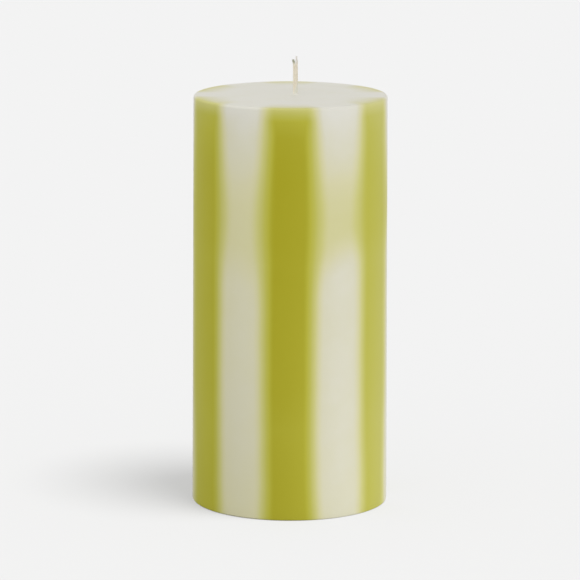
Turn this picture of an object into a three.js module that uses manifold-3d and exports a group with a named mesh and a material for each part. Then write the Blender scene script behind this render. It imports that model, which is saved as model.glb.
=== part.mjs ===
// A striped pillar candle: a poured body of white wax with six green wax stripes set flush into its wall,
// a braided cotton wick, and the steel sustainer that anchors the wick in the base.
// Millimetres, +Z up. The origin is the centre of the base, on the surface that the candle stands on, and
// the first stripe faces -Y.
import * as THREE from "three";
import { mergeVertices } from "three/addons/utils/BufferGeometryUtils.js";
import Module from "manifold-3d";

// Wax body
const BODY_HEIGHT = 153;
const BASE_DIAMETER = 73;
const MOULD_DRAFT = THREE.MathUtils.degToRad(0.25); // a side, so that the candle slides out of its mould
const RIM_RADIUS = 1.0; // where the wall turns into the top face
const FOOT_RADIUS = 0.6; // where the wall turns into the base

// Green stripes, cut from a sheet of dyed wax and bent round the wall
const STRIPE_COUNT = 6;
const STRIPE_WIDTH = 19.1; // round the wall, at the base
const STRIPE_THICKNESS = 2.0;
const STRIPE_CORNER = 0.8; // the back corners, softened by the hot wax that was poured behind the stripe

// Wick, a flat cotton braid
const WICK_WIDTH = 1.8;
const WICK_THICKNESS = 1.4;
const WICK_EXPOSED = 14; // above the top face
const WICK_OFFSET = 2.2; // how far off the axis, towards +X, the wick leaves the top
const WICK_LEAN = 0.1; // how far the free end leans back, towards -X
const WICK_CUT = THREE.MathUtils.degToRad(25); // the slant of the scissor cut

// Forked end of the wick, where the braid has opened into two prongs
const FORK_DEPTH = 2.7; // from the middle of the cut down to where the prongs part
const FORK_GAP = 0.3; // between the prongs, level with the cut
const SHORT_PRONG = 1.0; // how far below the cut the -X prong ends
const PRONG_BEND = 0.5; // how far its end bends out

// Collar, the low cone of wax that climbs the wick
const COLLAR_LIP = 0.3; // its flat width round the wick
const COLLAR_SPREAD = 1.2; // from the lip out to the top face
const COLLAR_HEIGHT = 0.7;

// Wick sustainer, drawn from one disc of tinned steel
const SHEET = 0.4;
const TAB_DIAMETER = 20;
const TAB_SETBACK = 0.5; // how far the tab lies inside the base
const NECK_HEIGHT = 7; // from the tab's underside
const NECK_BEND = 0.8; // inside radius where the tab turns up into the neck
const CRIMP_HEIGHT = 4; // how much of the neck, from its top down, is squeezed on to the wick
const CRIMP_LEAD = 1.5; // the round part of the neck that tapers into the crimp
const BEAD_DIAMETER = 14; // the stiffening ring pressed into the tab
const BEAD_WIDTH = 2.4;
const BEAD_HEIGHT = 0.4;

// Clearances
const WAX_SEAM = 0.3; // between a piece and the wax around it
const NECK_FIT = 0.3; // between the wick and the neck that is crimped round it

// Facets
const TURN_STEPS = 96; // round the wax body
const TAB_STEPS = 40; // round the sustainer
const ARC_STEPS = 3; // half as many as the faces on one arc
const WICK_SIDES = 10; // round the wick's section
const WICK_STEP = 3; // along the wick
const OVERSHOOT = 1; // how far a cutter runs past the faces that it opens

const WAX_WHITE = new THREE.MeshStandardMaterial({ color: 0xe9e6d6, roughness: 0.45, metalness: 0 });
const WAX_GREEN = new THREE.MeshStandardMaterial({ color: 0xb0ae3c, roughness: 0.45, metalness: 0 });
const COTTON = new THREE.MeshStandardMaterial({ color: 0xe3d8bf, roughness: 0.8, metalness: 0 });
const TINNED_STEEL = new THREE.MeshStandardMaterial({ color: 0xc6c8ca, roughness: 0.3, metalness: 1 });

const wasm = await Module();
wasm.setup();

// A closed geometry as a solid that can be joined and cut.
function solidFrom(geometry) {
  const bare = geometry.clone();
  bare.deleteAttribute("normal");
  bare.deleteAttribute("uv");
  const merged = mergeVertices(bare, 1e-4);
  return new wasm.Manifold(
    new wasm.Mesh({
      numProp: 3,
      vertProperties: new Float32Array(merged.attributes.position.array),
      triVerts: new Uint32Array(merged.index.array),
    }),
  );
}

// A solid as a geometry with flat faces.
function geometryFrom(solid) {
  const mesh = solid.getMesh();
  const indexed = new THREE.BufferGeometry();
  indexed.setAttribute("position", new THREE.BufferAttribute(mesh.vertProperties, mesh.numProp));
  indexed.setIndex(new THREE.BufferAttribute(mesh.triVerts, 1));
  const geometry = indexed.toNonIndexed();
  geometry.computeVertexNormals();
  return geometry;
}

// A named piece with a material of its own.
function piece(name, geometry, material) {
  const mesh = new THREE.Mesh(geometry, material.clone());
  mesh.name = name;
  return mesh;
}

// Turns a profile of (radius, height) points about +Z.
function revolve(profile, steps) {
  return new THREE.LatheGeometry(profile, steps).rotateX(Math.PI / 2);
}

// The wax wall's radius at a height.
function wallRadius(height) {
  return BASE_DIAMETER / 2 - height * Math.tan(MOULD_DRAFT);
}

// The candle's outside as one turned solid, before anything is let into it.
function candleBlank() {
  const foot = wallRadius(FOOT_RADIUS) - FOOT_RADIUS;
  const rimStart = BODY_HEIGHT - RIM_RADIUS;
  const rim = wallRadius(rimStart) - RIM_RADIUS;
  const outline = new THREE.Path();
  outline.moveTo(0, 0);
  outline.lineTo(foot, 0);
  outline.absarc(foot, FOOT_RADIUS, FOOT_RADIUS, -Math.PI / 2, 0);
  outline.absarc(rim, rimStart, RIM_RADIUS, 0, Math.PI / 2);
  outline.lineTo(0, BODY_HEIGHT);
  return solidFrom(revolve(outline.getPoints(ARC_STEPS), TURN_STEPS));
}

// A stripe's section, seen from above and facing -Y, grown by a clearance on its back and sides. It runs
// out past the wall, and the candle's outside trims it.
function stripeSection(clearance) {
  const back = BASE_DIAMETER / 2 - STRIPE_THICKNESS - clearance;
  const front = BASE_DIAMETER / 2 + OVERSHOOT;
  const half = (STRIPE_WIDTH / 2 + clearance) / (BASE_DIAMETER / 2);
  const corner = Math.min(STRIPE_CORNER, STRIPE_THICKNESS) + clearance;
  const cornerCentre = back + corner;
  const cornerTurn = Math.asin(corner / cornerCentre); // from the stripe's side to its corner's centre
  const left = -Math.PI / 2 - half;
  const right = -Math.PI / 2 + half;
  const place = (radius, angle) => [radius * Math.cos(angle), radius * Math.sin(angle)];
  const leftCorner = place(cornerCentre, left + cornerTurn);
  const rightCorner = place(cornerCentre, right - cornerTurn);
  const section = new THREE.Shape();
  section.moveTo(...place(front, left));
  section.absarc(0, 0, front, left, right);
  section.absarc(...rightCorner, corner, right + Math.PI / 2, right + Math.PI - cornerTurn);
  section.absarc(0, 0, back, right - cornerTurn, left + cornerTurn, true);
  section.absarc(...leftCorner, corner, left - Math.PI + cornerTurn, left - Math.PI / 2);
  return section;
}

// Draws every point of an upright geometry in towards the axis as it rises, parallel to the drafted wall.
function leanWithWall(geometry) {
  const points = geometry.attributes.position;
  for (let i = 0; i < points.count; i += 1) {
    const radius = Math.hypot(points.getX(i), points.getY(i));
    const drawnIn = 1 - (points.getZ(i) * Math.tan(MOULD_DRAFT)) / radius;
    points.setXY(i, points.getX(i) * drawnIn, points.getY(i) * drawnIn);
  }
  return geometry;
}

// A stripe at its place round the wall, with a clearance, still standing out past the candle's outside.
function stripeStock(index, clearance) {
  const length = BODY_HEIGHT + 2 * OVERSHOOT;
  const upright = new THREE.ExtrudeGeometry(stripeSection(clearance), {
    depth: length,
    curveSegments: ARC_STEPS,
    bevelEnabled: false,
  });
  upright.translate(0, 0, -OVERSHOOT);
  return solidFrom(leanWithWall(upright).rotateZ((index * 2 * Math.PI) / STRIPE_COUNT));
}

// The wick's route: straight up the sustainer's neck, across to the exit in the top face, and then free
// with a slight lean. It runs on past both ends of the wick for the cutters.
function wickRoute() {
  const start = new THREE.Vector3(0, 0, TAB_SETBACK - OVERSHOOT);
  const neckTop = new THREE.Vector3(0, 0, TAB_SETBACK + NECK_HEIGHT);
  const exit = new THREE.Vector3(WICK_OFFSET, 0, BODY_HEIGHT);
  const rise = exit.clone().sub(neckTop).normalize();
  const tip = wickTip();
  const bend = exit.clone().addScaledVector(rise, WICK_EXPOSED / 2);
  const onwards = tip.clone().sub(bend).normalize();
  const route = new THREE.CurvePath();
  route.add(new THREE.LineCurve3(start, neckTop));
  route.add(new THREE.LineCurve3(neckTop, exit));
  route.add(new THREE.QuadraticBezierCurve3(exit, bend, tip));
  route.add(new THREE.LineCurve3(tip, tip.clone().addScaledVector(onwards, WICK_WIDTH)));
  return route;
}

// The middle of the wick's cut end.
function wickTip() {
  return new THREE.Vector3(WICK_OFFSET - WICK_LEAN, 0, BODY_HEIGHT + WICK_EXPOSED);
}

// The wick's oval section along its whole route, grown by a clearance. Its width lies along X.
function wickStock(clearance) {
  const section = new THREE.Shape();
  const halfThickness = WICK_THICKNESS / 2 + clearance;
  const halfWidth = WICK_WIDTH / 2 + clearance;
  section.absellipse(0, 0, halfThickness, halfWidth, 0, 2 * Math.PI);
  const route = wickRoute();
  const stock = new THREE.ExtrudeGeometry(section, {
    steps: Math.ceil(route.getLength() / WICK_STEP),
    curveSegments: WICK_SIDES / 2,
    extrudePath: route,
  });
  return solidFrom(stock);
}

// The collar of wax round the wick, reaching down into the body that it belongs to.
function collar() {
  const lip = Math.max(WICK_WIDTH, WICK_THICKNESS) / 2 + WAX_SEAM + COLLAR_LIP;
  const foot = lip + COLLAR_SPREAD;
  const outline = new THREE.Path();
  outline.moveTo(0, -OVERSHOOT);
  outline.lineTo(foot, -OVERSHOOT);
  outline.lineTo(foot, 0);
  outline.quadraticCurveTo(lip, 0, lip, COLLAR_HEIGHT);
  outline.lineTo(0, COLLAR_HEIGHT);
  const turned = revolve(outline.getPoints(2 * ARC_STEPS), TAB_STEPS);
  return solidFrom(turned.translate(WICK_OFFSET, 0, BODY_HEIGHT));
}

// The radius of the neck's middle surface before it is crimped.
function neckRadius() {
  return Math.max(WICK_WIDTH, WICK_THICKNESS) / 2 + NECK_FIT + SHEET / 2;
}

// The middle line of the sustainer's sheet, from the top of its neck out to the tab's edge.
function sustainerLine() {
  const tab = TAB_SETBACK + SHEET / 2;
  const bend = NECK_BEND + SHEET / 2;
  const crest = tab + BEAD_HEIGHT;
  const bead = BEAD_DIAMETER / 2;
  const ease = BEAD_WIDTH / 4; // how far each side of the bead takes to turn between flat and crest
  const line = new THREE.Path();
  line.moveTo(neckRadius(), TAB_SETBACK + NECK_HEIGHT);
  line.lineTo(neckRadius(), TAB_SETBACK + NECK_HEIGHT - CRIMP_HEIGHT);
  line.lineTo(neckRadius(), TAB_SETBACK + NECK_HEIGHT - CRIMP_HEIGHT - CRIMP_LEAD);
  line.absarc(neckRadius() + bend, tab + bend, bend, Math.PI, (3 * Math.PI) / 2);
  line.lineTo(bead - 2 * ease, tab);
  line.bezierCurveTo(bead - ease, tab, bead - ease, crest, bead, crest);
  line.bezierCurveTo(bead + ease, crest, bead + ease, tab, bead + 2 * ease, tab);
  line.lineTo(TAB_DIAMETER / 2, tab);
  return line.getPoints(ARC_STEPS);
}

// Thickens a sheet's middle line to both sides and closes the section.
function sheetSection(line) {
  const shifted = (distance) =>
    line.map((point, i) => {
      const before = line[Math.max(i - 1, 0)];
      const after = line[Math.min(i + 1, line.length - 1)];
      const along = after.clone().sub(before).normalize();
      return new THREE.Vector2(point.x - along.y * distance, point.y + along.x * distance);
    });
  const underside = shifted(-SHEET / 2);
  const topSide = shifted(SHEET / 2).reverse();
  return [...underside, ...topSide, underside[0]];
}

// Squeezes the top of a turned neck from round to the wick's oval, and leaves the tab as it is.
function crimp(geometry) {
  const crimpStart = TAB_SETBACK + NECK_HEIGHT - CRIMP_HEIGHT;
  const across = (WICK_WIDTH / 2 + NECK_FIT + SHEET / 2) / neckRadius();
  const through = (WICK_THICKNESS / 2 + NECK_FIT + SHEET / 2) / neckRadius();
  const points = geometry.attributes.position;
  for (let i = 0; i < points.count; i += 1) {
    const squeeze = THREE.MathUtils.smoothstep(points.getZ(i), crimpStart - CRIMP_LEAD, crimpStart);
    const alongX = THREE.MathUtils.lerp(1, across, squeeze);
    const alongY = THREE.MathUtils.lerp(1, through, squeeze);
    points.setXY(i, points.getX(i) * alongX, points.getY(i) * alongY);
  }
  return geometry;
}

// The hollow that the sustainer leaves in the wax.
function sustainerSeat() {
  const tabTop = TAB_SETBACK + SHEET + BEAD_HEIGHT + WAX_SEAM;
  const tabEdge = TAB_DIAMETER / 2 + WAX_SEAM;
  const neckTop = TAB_SETBACK + NECK_HEIGHT + WAX_SEAM;
  const neckEdge = neckRadius() + SHEET / 2 + WAX_SEAM;
  const outline = new THREE.Path();
  outline.moveTo(0, -OVERSHOOT);
  outline.lineTo(tabEdge, -OVERSHOOT);
  outline.lineTo(tabEdge, tabTop);
  outline.lineTo(neckEdge + NECK_BEND, tabTop);
  outline.lineTo(neckEdge, tabTop + NECK_BEND);
  outline.lineTo(neckEdge, neckTop);
  outline.lineTo(0, neckTop);
  return solidFrom(revolve(outline.getPoints(), TAB_STEPS));
}

// The poured white wax, with a channel for each stripe, a bore for the wick and a seat for the sustainer.
function waxBody() {
  let body = candleBlank().add(collar());
  for (let index = 0; index < STRIPE_COUNT; index += 1) {
    body = body.subtract(stripeStock(index, WAX_SEAM));
  }
  body = body.subtract(wickStock(WAX_SEAM)).subtract(sustainerSeat());
  return piece("wax_body", geometryFrom(body), WAX_WHITE);
}

// One green stripe, trimmed to the candle's outside.
function greenStripe(index) {
  const stripe = stripeStock(index, 0).intersect(candleBlank());
  return piece(`green_stripe_${index + 1}`, geometryFrom(stripe), WAX_GREEN);
}

// What the fork takes out of the wick's end: a wedge that opens upwards, and all above the shorter prong.
function forkWaste() {
  const tip = wickTip();
  const outline = new THREE.Shape();
  outline.moveTo(0, -FORK_DEPTH);
  outline.lineTo(FORK_GAP / 2, WICK_WIDTH);
  outline.lineTo(-WICK_WIDTH, WICK_WIDTH);
  outline.lineTo(-WICK_WIDTH, -SHORT_PRONG);
  outline.lineTo(-FORK_GAP / 2, -SHORT_PRONG);
  const depth = 2 * WICK_WIDTH;
  const waste = new THREE.ExtrudeGeometry(outline, { depth, bevelEnabled: false });
  return solidFrom(waste.rotateX(Math.PI / 2).translate(tip.x, tip.y + depth / 2, tip.z));
}

// Bends the shorter prong out, away from the wedge between the prongs.
function bendShortProng(geometry) {
  const tip = wickTip();
  const points = geometry.attributes.position;
  for (let i = 0; i < points.count; i += 1) {
    const rise = points.getZ(i) - (tip.z - FORK_DEPTH);
    if (rise > 0 && points.getX(i) < tip.x) {
      points.setX(i, points.getX(i) - PRONG_BEND * (rise / (FORK_DEPTH - SHORT_PRONG)) ** 2);
    }
  }
  geometry.computeVertexNormals();
  return geometry;
}

// The wick, flush with the tab's underside, and at its free end cut at a slant and forked.
function wick() {
  const waste = 4 * WICK_WIDTH;
  const tip = wickTip();
  const above = new THREE.BoxGeometry(waste, waste, waste).translate(0, 0, waste / 2);
  const below = new THREE.BoxGeometry(waste, waste, waste).translate(0, 0, TAB_SETBACK - waste / 2);
  const braid = wickStock(0)
    .subtract(solidFrom(above.rotateY(-WICK_CUT).translate(tip.x, tip.y, tip.z)))
    .subtract(solidFrom(below))
    .subtract(forkWaste());
  return piece("wick", bendShortProng(geometryFrom(braid)), COTTON);
}

// The sustainer: a round tab with a pressed bead, drawn up into a neck that is crimped on to the wick.
function wickSustainer() {
  const pressed = crimp(revolve(sheetSection(sustainerLine()), TAB_STEPS));
  return piece("wick_sustainer", geometryFrom(solidFrom(pressed)), TINNED_STEEL);
}

const candle = new THREE.Group();
candle.add(waxBody());
for (let index = 0; index < STRIPE_COUNT; index += 1) {
  candle.add(greenStripe(index));
}
candle.add(wick());
candle.add(wickSustainer());

export default candle;
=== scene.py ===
"""Dresses the striped pillar candle.

The poured body, the six dyed stripes let into it, the braided wick and the pressed sustainer are each
modelled as a mesh of their own at the place of their solid, with a procedural finish. Shapes are worked out
in millimetres.
"""

from __future__ import annotations

import logging
import math
from dataclasses import dataclass
from enum import Enum
from typing import Any, Sequence, Union

import bmesh
import bpy
import numpy as np
from mathutils import Matrix, Vector


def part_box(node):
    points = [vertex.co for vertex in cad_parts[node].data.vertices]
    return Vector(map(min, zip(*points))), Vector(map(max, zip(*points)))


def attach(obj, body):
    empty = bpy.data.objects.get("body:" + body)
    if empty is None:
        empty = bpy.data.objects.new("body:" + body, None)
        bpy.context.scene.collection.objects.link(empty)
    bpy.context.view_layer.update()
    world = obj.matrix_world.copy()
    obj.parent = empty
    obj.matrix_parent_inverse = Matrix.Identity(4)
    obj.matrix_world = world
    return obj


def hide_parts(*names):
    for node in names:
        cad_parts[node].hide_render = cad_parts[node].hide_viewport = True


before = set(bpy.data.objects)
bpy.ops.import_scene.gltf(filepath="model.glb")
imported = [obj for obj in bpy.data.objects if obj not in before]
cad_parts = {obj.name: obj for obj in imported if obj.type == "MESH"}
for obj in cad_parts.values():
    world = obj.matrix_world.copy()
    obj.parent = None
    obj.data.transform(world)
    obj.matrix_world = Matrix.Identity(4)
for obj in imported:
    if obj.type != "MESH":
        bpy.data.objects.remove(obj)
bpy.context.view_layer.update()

LOG = logging.getLogger("pillar_candle")
MM = 0.001  # metres in a millimetre
BODY = "root"

WELD = 0.002  # points closer than this are one point
CREASE = math.radians(32)  # edges that turn more than this stay sharp
NUDGE = 1e-4  # keeps a direction from having no length

MATH = "ShaderNodeMath"
VECTOR_MATH = "ShaderNodeVectorMath"
MAP_RANGE = "ShaderNodeMapRange"
NOISE = "ShaderNodeTexNoise"
RAMP = "ShaderNodeValToRGB"
MIX = "ShaderNodeMix"
BUMP = "ShaderNodeBump"
PRINCIPLED = "ShaderNodeBsdfPrincipled"
SPLIT_PLACE = "ShaderNodeSeparateXYZ"
SPLIT_COLOUR = "ShaderNodeSeparateColor"
WAVE_LENGTH = 0.314  # from ring to ring of a wave texture at a scale of 1

Point = tuple[float, float]
Face = tuple[int, ...]
Tree = bpy.types.NodeTree
Node = bpy.types.Node
Socket = bpy.types.NodeSocket
Source = Union[Socket, Node]  # what feeds a socket; a node does it from its first output


class Ends(Enum):
    """How the two ends of a row of rings are closed."""

    CAPPED = "capped"
    JOINED = "joined"


class Side(Enum):
    """A wick strand's sense of turn in the braid."""

    CLOCKWISE = -1
    COUNTER = 1


def linear(hex_colour: str) -> tuple[float, float, float, float]:
    """Turns a colour as a screen shows it into scene light.

    Args:
        hex_colour: Six hex digits of sRGB, such as "e9e6d6".

    Returns:
        Linear red, green, blue and an alpha of 1.
    """
    coded = [int(hex_colour[i : i + 2], 16) / 255 for i in (0, 2, 4)]
    light = [c / 12.92 if c <= 0.04045 else ((c + 0.055) / 1.055) ** 2.4 for c in coded]
    return (light[0], light[1], light[2], 1.0)


def smoothstep(value: Any, start: float, end: float) -> Any:
    """Eases from 0 at start to 1 at end, for one value or an array."""
    t = np.clip((value - start) / (end - start), 0.0, 1.0)
    return t * t * (3 - 2 * t)


def add_node(tree: Tree, kind: str, inputs: dict[Any, Any] | Sequence[Any] = (), **settings: Any) -> Node:
    """Adds a node to a tree.

    Args:
        tree: The tree that takes it.
        kind: The node's type name.
        inputs: Its sockets by name or number, or in their order, each with a value or with what feeds it.
        settings: Its properties and their values.

    Returns:
        The new node.
    """
    node = tree.nodes.new(kind)
    for name, value in settings.items():
        setattr(node, name, value)
    by_key = inputs if isinstance(inputs, dict) else dict(enumerate(inputs))
    for key, value in by_key.items():
        source = value.outputs[0] if isinstance(value, Node) else value
        if isinstance(source, Socket):
            tree.links.new(source, node.inputs[key])
        else:
            node.inputs[key].default_value = source
    return node


def set_stops(ramp: bpy.types.ColorRamp, stops: Sequence[tuple[float, Sequence[float]]]) -> None:
    """Gives a ramp its stops.

    Args:
        ramp: The ramp of a colour ramp node.
        stops: Positions from 0 to 1 in rising order, each with four channels.
    """
    for position, _ in stops[1:-1]:
        ramp.elements.new(position)
    ramp.elements[-1].position = stops[-1][0]
    ramp.elements[0].position = stops[0][0]
    for element, (position, channels) in zip(ramp.elements, stops):
        element.position = position
        element.color = channels


def place_in_mm(tree: Tree) -> Node:
    """Adds the place on the object, in millimetres."""
    here = add_node(tree, "ShaderNodeTexCoord").outputs["Object"]
    return add_node(tree, VECTOR_MATH, {"Vector": here, "Scale": 1 / MM}, operation="SCALE")


def blank_material(name: str) -> bpy.types.Material:
    """Makes a material whose tree is still empty."""
    material = bpy.data.materials.new(name)
    material.use_nodes = True
    material.node_tree.nodes.clear()
    return material


def bridge(first: int, first_count: int, second: int, second_count: int) -> list[Face]:
    """Joins two closed rings of points with faces.

    Args:
        first: Number of the first ring's first point.
        first_count: Its points, as many as the second ring has, or twice or half as many.
        second: Number of the second ring's first point.
        second_count: The second ring's points.

    Returns:
        Faces as tuples of point numbers.
    """
    if first_count < second_count:
        return [face[::-1] for face in bridge(second, second_count, first, first_count)]
    faces: list[Face] = []
    for i in range(second_count):
        j = (i + 1) % second_count
        near, far = second + i, second + j
        if first_count == second_count:
            faces.append((first + i, first + j, far, near))
            continue
        start, middle, stop = (first + (2 * i + k) % first_count for k in range(3))
        faces += [(start, middle, near), (middle, far, near), (middle, stop, far)]
    return faces


def skin(rings: Sequence[np.ndarray], ends: Ends) -> tuple[np.ndarray, list[Face]]:
    """Covers a row of closed rings.

    Args:
        rings: Arrays of points, each as long as its neighbour, or twice or half as long.
        ends: Whether the first and last rings are capped or joined to each other.

    Returns:
        The points and the faces.
    """
    counts = [len(ring) for ring in rings]
    starts = [sum(counts[:i]) for i in range(len(counts))]
    faces: list[Face] = []
    for i in range(len(rings) - 1):
        faces += bridge(starts[i], counts[i], starts[i + 1], counts[i + 1])
    if ends is Ends.JOINED:
        faces += bridge(starts[-1], counts[-1], starts[0], counts[0])
    else:
        faces.append(tuple(range(counts[0]))[::-1])
        faces.append(tuple(range(starts[-1], starts[-1] + counts[-1])))
    return np.concatenate(rings), faces


def make_piece(
    name: str, parts: Sequence[tuple[np.ndarray, list[Face]]], material: bpy.types.Material
) -> bpy.types.Object:
    """Makes an object of one or more skins.

    Args:
        name: The piece's name.
        parts: Points in millimetres and faces, one pair for each closed skin.
        material: What it is made of.

    Returns:
        The object, smooth but for its creases.
    """
    mesh = bpy.data.meshes.new(name)
    points: list[np.ndarray] = []
    faces: list[Face] = []
    for part_points, part_faces in parts:
        shift = sum(len(p) for p in points)
        points.append(part_points)
        faces += [tuple(i + shift for i in face) for face in part_faces]
    mesh.from_pydata((np.concatenate(points) * MM).tolist(), [], faces)
    shape = bmesh.new()
    shape.from_mesh(mesh)
    if len(parts) == 1:
        bmesh.ops.remove_doubles(shape, verts=shape.verts, dist=WELD * MM)
    bmesh.ops.recalc_face_normals(shape, faces=shape.faces)
    shape.to_mesh(mesh)
    shape.free()
    mesh.shade_smooth()
    mesh.set_sharp_from_angle(angle=CREASE)
    mesh.materials.append(material)
    piece = bpy.data.objects.new(name, mesh)
    bpy.context.scene.collection.objects.link(piece)
    return piece


def seat(piece: bpy.types.Object, node: str) -> None:
    """Puts a piece in a solid's stead and reports it.

    Args:
        piece: The modelled piece.
        node: The solid that it stands for.
    """
    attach(piece, BODY)
    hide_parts(node)
    LOG.info("%s stands for %s: %d faces", piece.name, node, len(piece.data.polygons))


@dataclass(frozen=True)
class CandleForm:
    """The outside of the candle and the plan of its stripes, in millimetres."""

    base_radius: float
    height: float
    stripe_half_turn: float  # radians
    draft: float = math.radians(0.25)
    rim_radius: float = 1.0
    foot_radius: float = 0.6
    stripe_count: int = 6
    stripe_thickness: float = 2.0
    stripe_corner: float = 0.8
    arc_steps: int = 6  # on the rim and the foot
    wall_step: float = 3.0
    front_steps: int = 24  # across a stripe, and across the white between two stripes
    side_steps: int = 4
    corner_steps: int = 4

    @classmethod
    def from_frame(cls) -> CandleForm:
        """Reads the driving sizes off the first stripe's solid, which faces -Y."""
        low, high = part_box("green_stripe_1")
        widest = -low.y / MM
        radius = widest + cls.foot_radius * math.tan(cls.draft)
        return cls(radius, high.z / MM, math.asin(high.x / MM / widest))

    @property
    def pitch(self) -> float:
        """Angle from one stripe's middle to the next one's."""
        return 2 * math.pi / self.stripe_count

    def wall_radius(self, height: float) -> float:
        """Radius of the drafted wall at a height."""
        return self.base_radius - height * math.tan(self.draft)

    def levels(self) -> list[Point]:
        """Heights from the base up, each with how far the rounded edges draw the wall in there."""
        foot, rim = self.foot_radius, self.rim_radius
        turns = np.linspace(0, math.pi / 2, self.arc_steps + 1)
        low = [(foot * (1 - math.cos(t)), foot * (1 - math.sin(t))) for t in turns]
        high = [(self.height - rim * (1 - math.sin(t)), rim * (1 - math.cos(t))) for t in turns]
        count = round((high[0][0] - low[-1][0]) / self.wall_step)
        wall = [(float(z), 0.0) for z in np.linspace(low[-1][0], high[0][0], count + 1)[1:-1]]
        return low + wall + high

    def side_depths(self) -> np.ndarray:
        """Depths below the wall of the points down a stripe's side, as far as its back corner."""
        return np.linspace(0, self.stripe_thickness - self.stripe_corner, self.side_steps + 1)

    def corner_points(self) -> list[Point]:
        """One back corner from the side round to the back, as angles in from the side, and depths."""
        back = self.base_radius - self.stripe_thickness
        centre = back + self.stripe_corner
        turn_in = math.asin(self.stripe_corner / centre)
        middle = np.array([centre * math.cos(turn_in), centre * math.sin(turn_in)])
        points = []
        for t in np.linspace(0, 1, self.corner_steps + 1)[1:]:
            turn = -math.pi / 2 - t * (math.pi / 2 - turn_in)
            x, y = middle + self.stripe_corner * np.array([math.cos(turn), math.sin(turn)])
            points.append((math.atan2(y, x), self.base_radius - math.hypot(x, y)))
        return points

    def stripe_back(self) -> list[Point]:
        """A stripe's side, back corner, back, other corner and other side, as angles and depths."""
        half = self.stripe_half_turn
        side = [(-half, float(d)) for d in self.side_depths()]
        corner = [(-half + a, d) for a, d in self.corner_points()]
        start = corner[-1][0]
        across = np.linspace(start, -start, self.front_steps + 1)[1:-1]
        back = [(float(a), self.stripe_thickness) for a in across]
        left = side + corner
        return left + back + [(-a, d) for a, d in reversed(left)]

    def ring(self, plan: Sequence[Point], height: float, inset: float) -> np.ndarray:
        """Places a plan of angles and depths at a height.

        Args:
            plan: Angles from -Y towards +X, and depths below the wall.
            height: Where the ring lies.
            inset: How far a rounded edge draws the wall in there.

        Returns:
            The ring's points.
        """
        angles = np.array([a for a, _ in plan])
        depths = np.maximum([d for _, d in plan], inset)
        radii = self.wall_radius(height) - depths
        return np.column_stack([radii * np.sin(angles), -radii * np.cos(angles), np.full(len(plan), height)])


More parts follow.
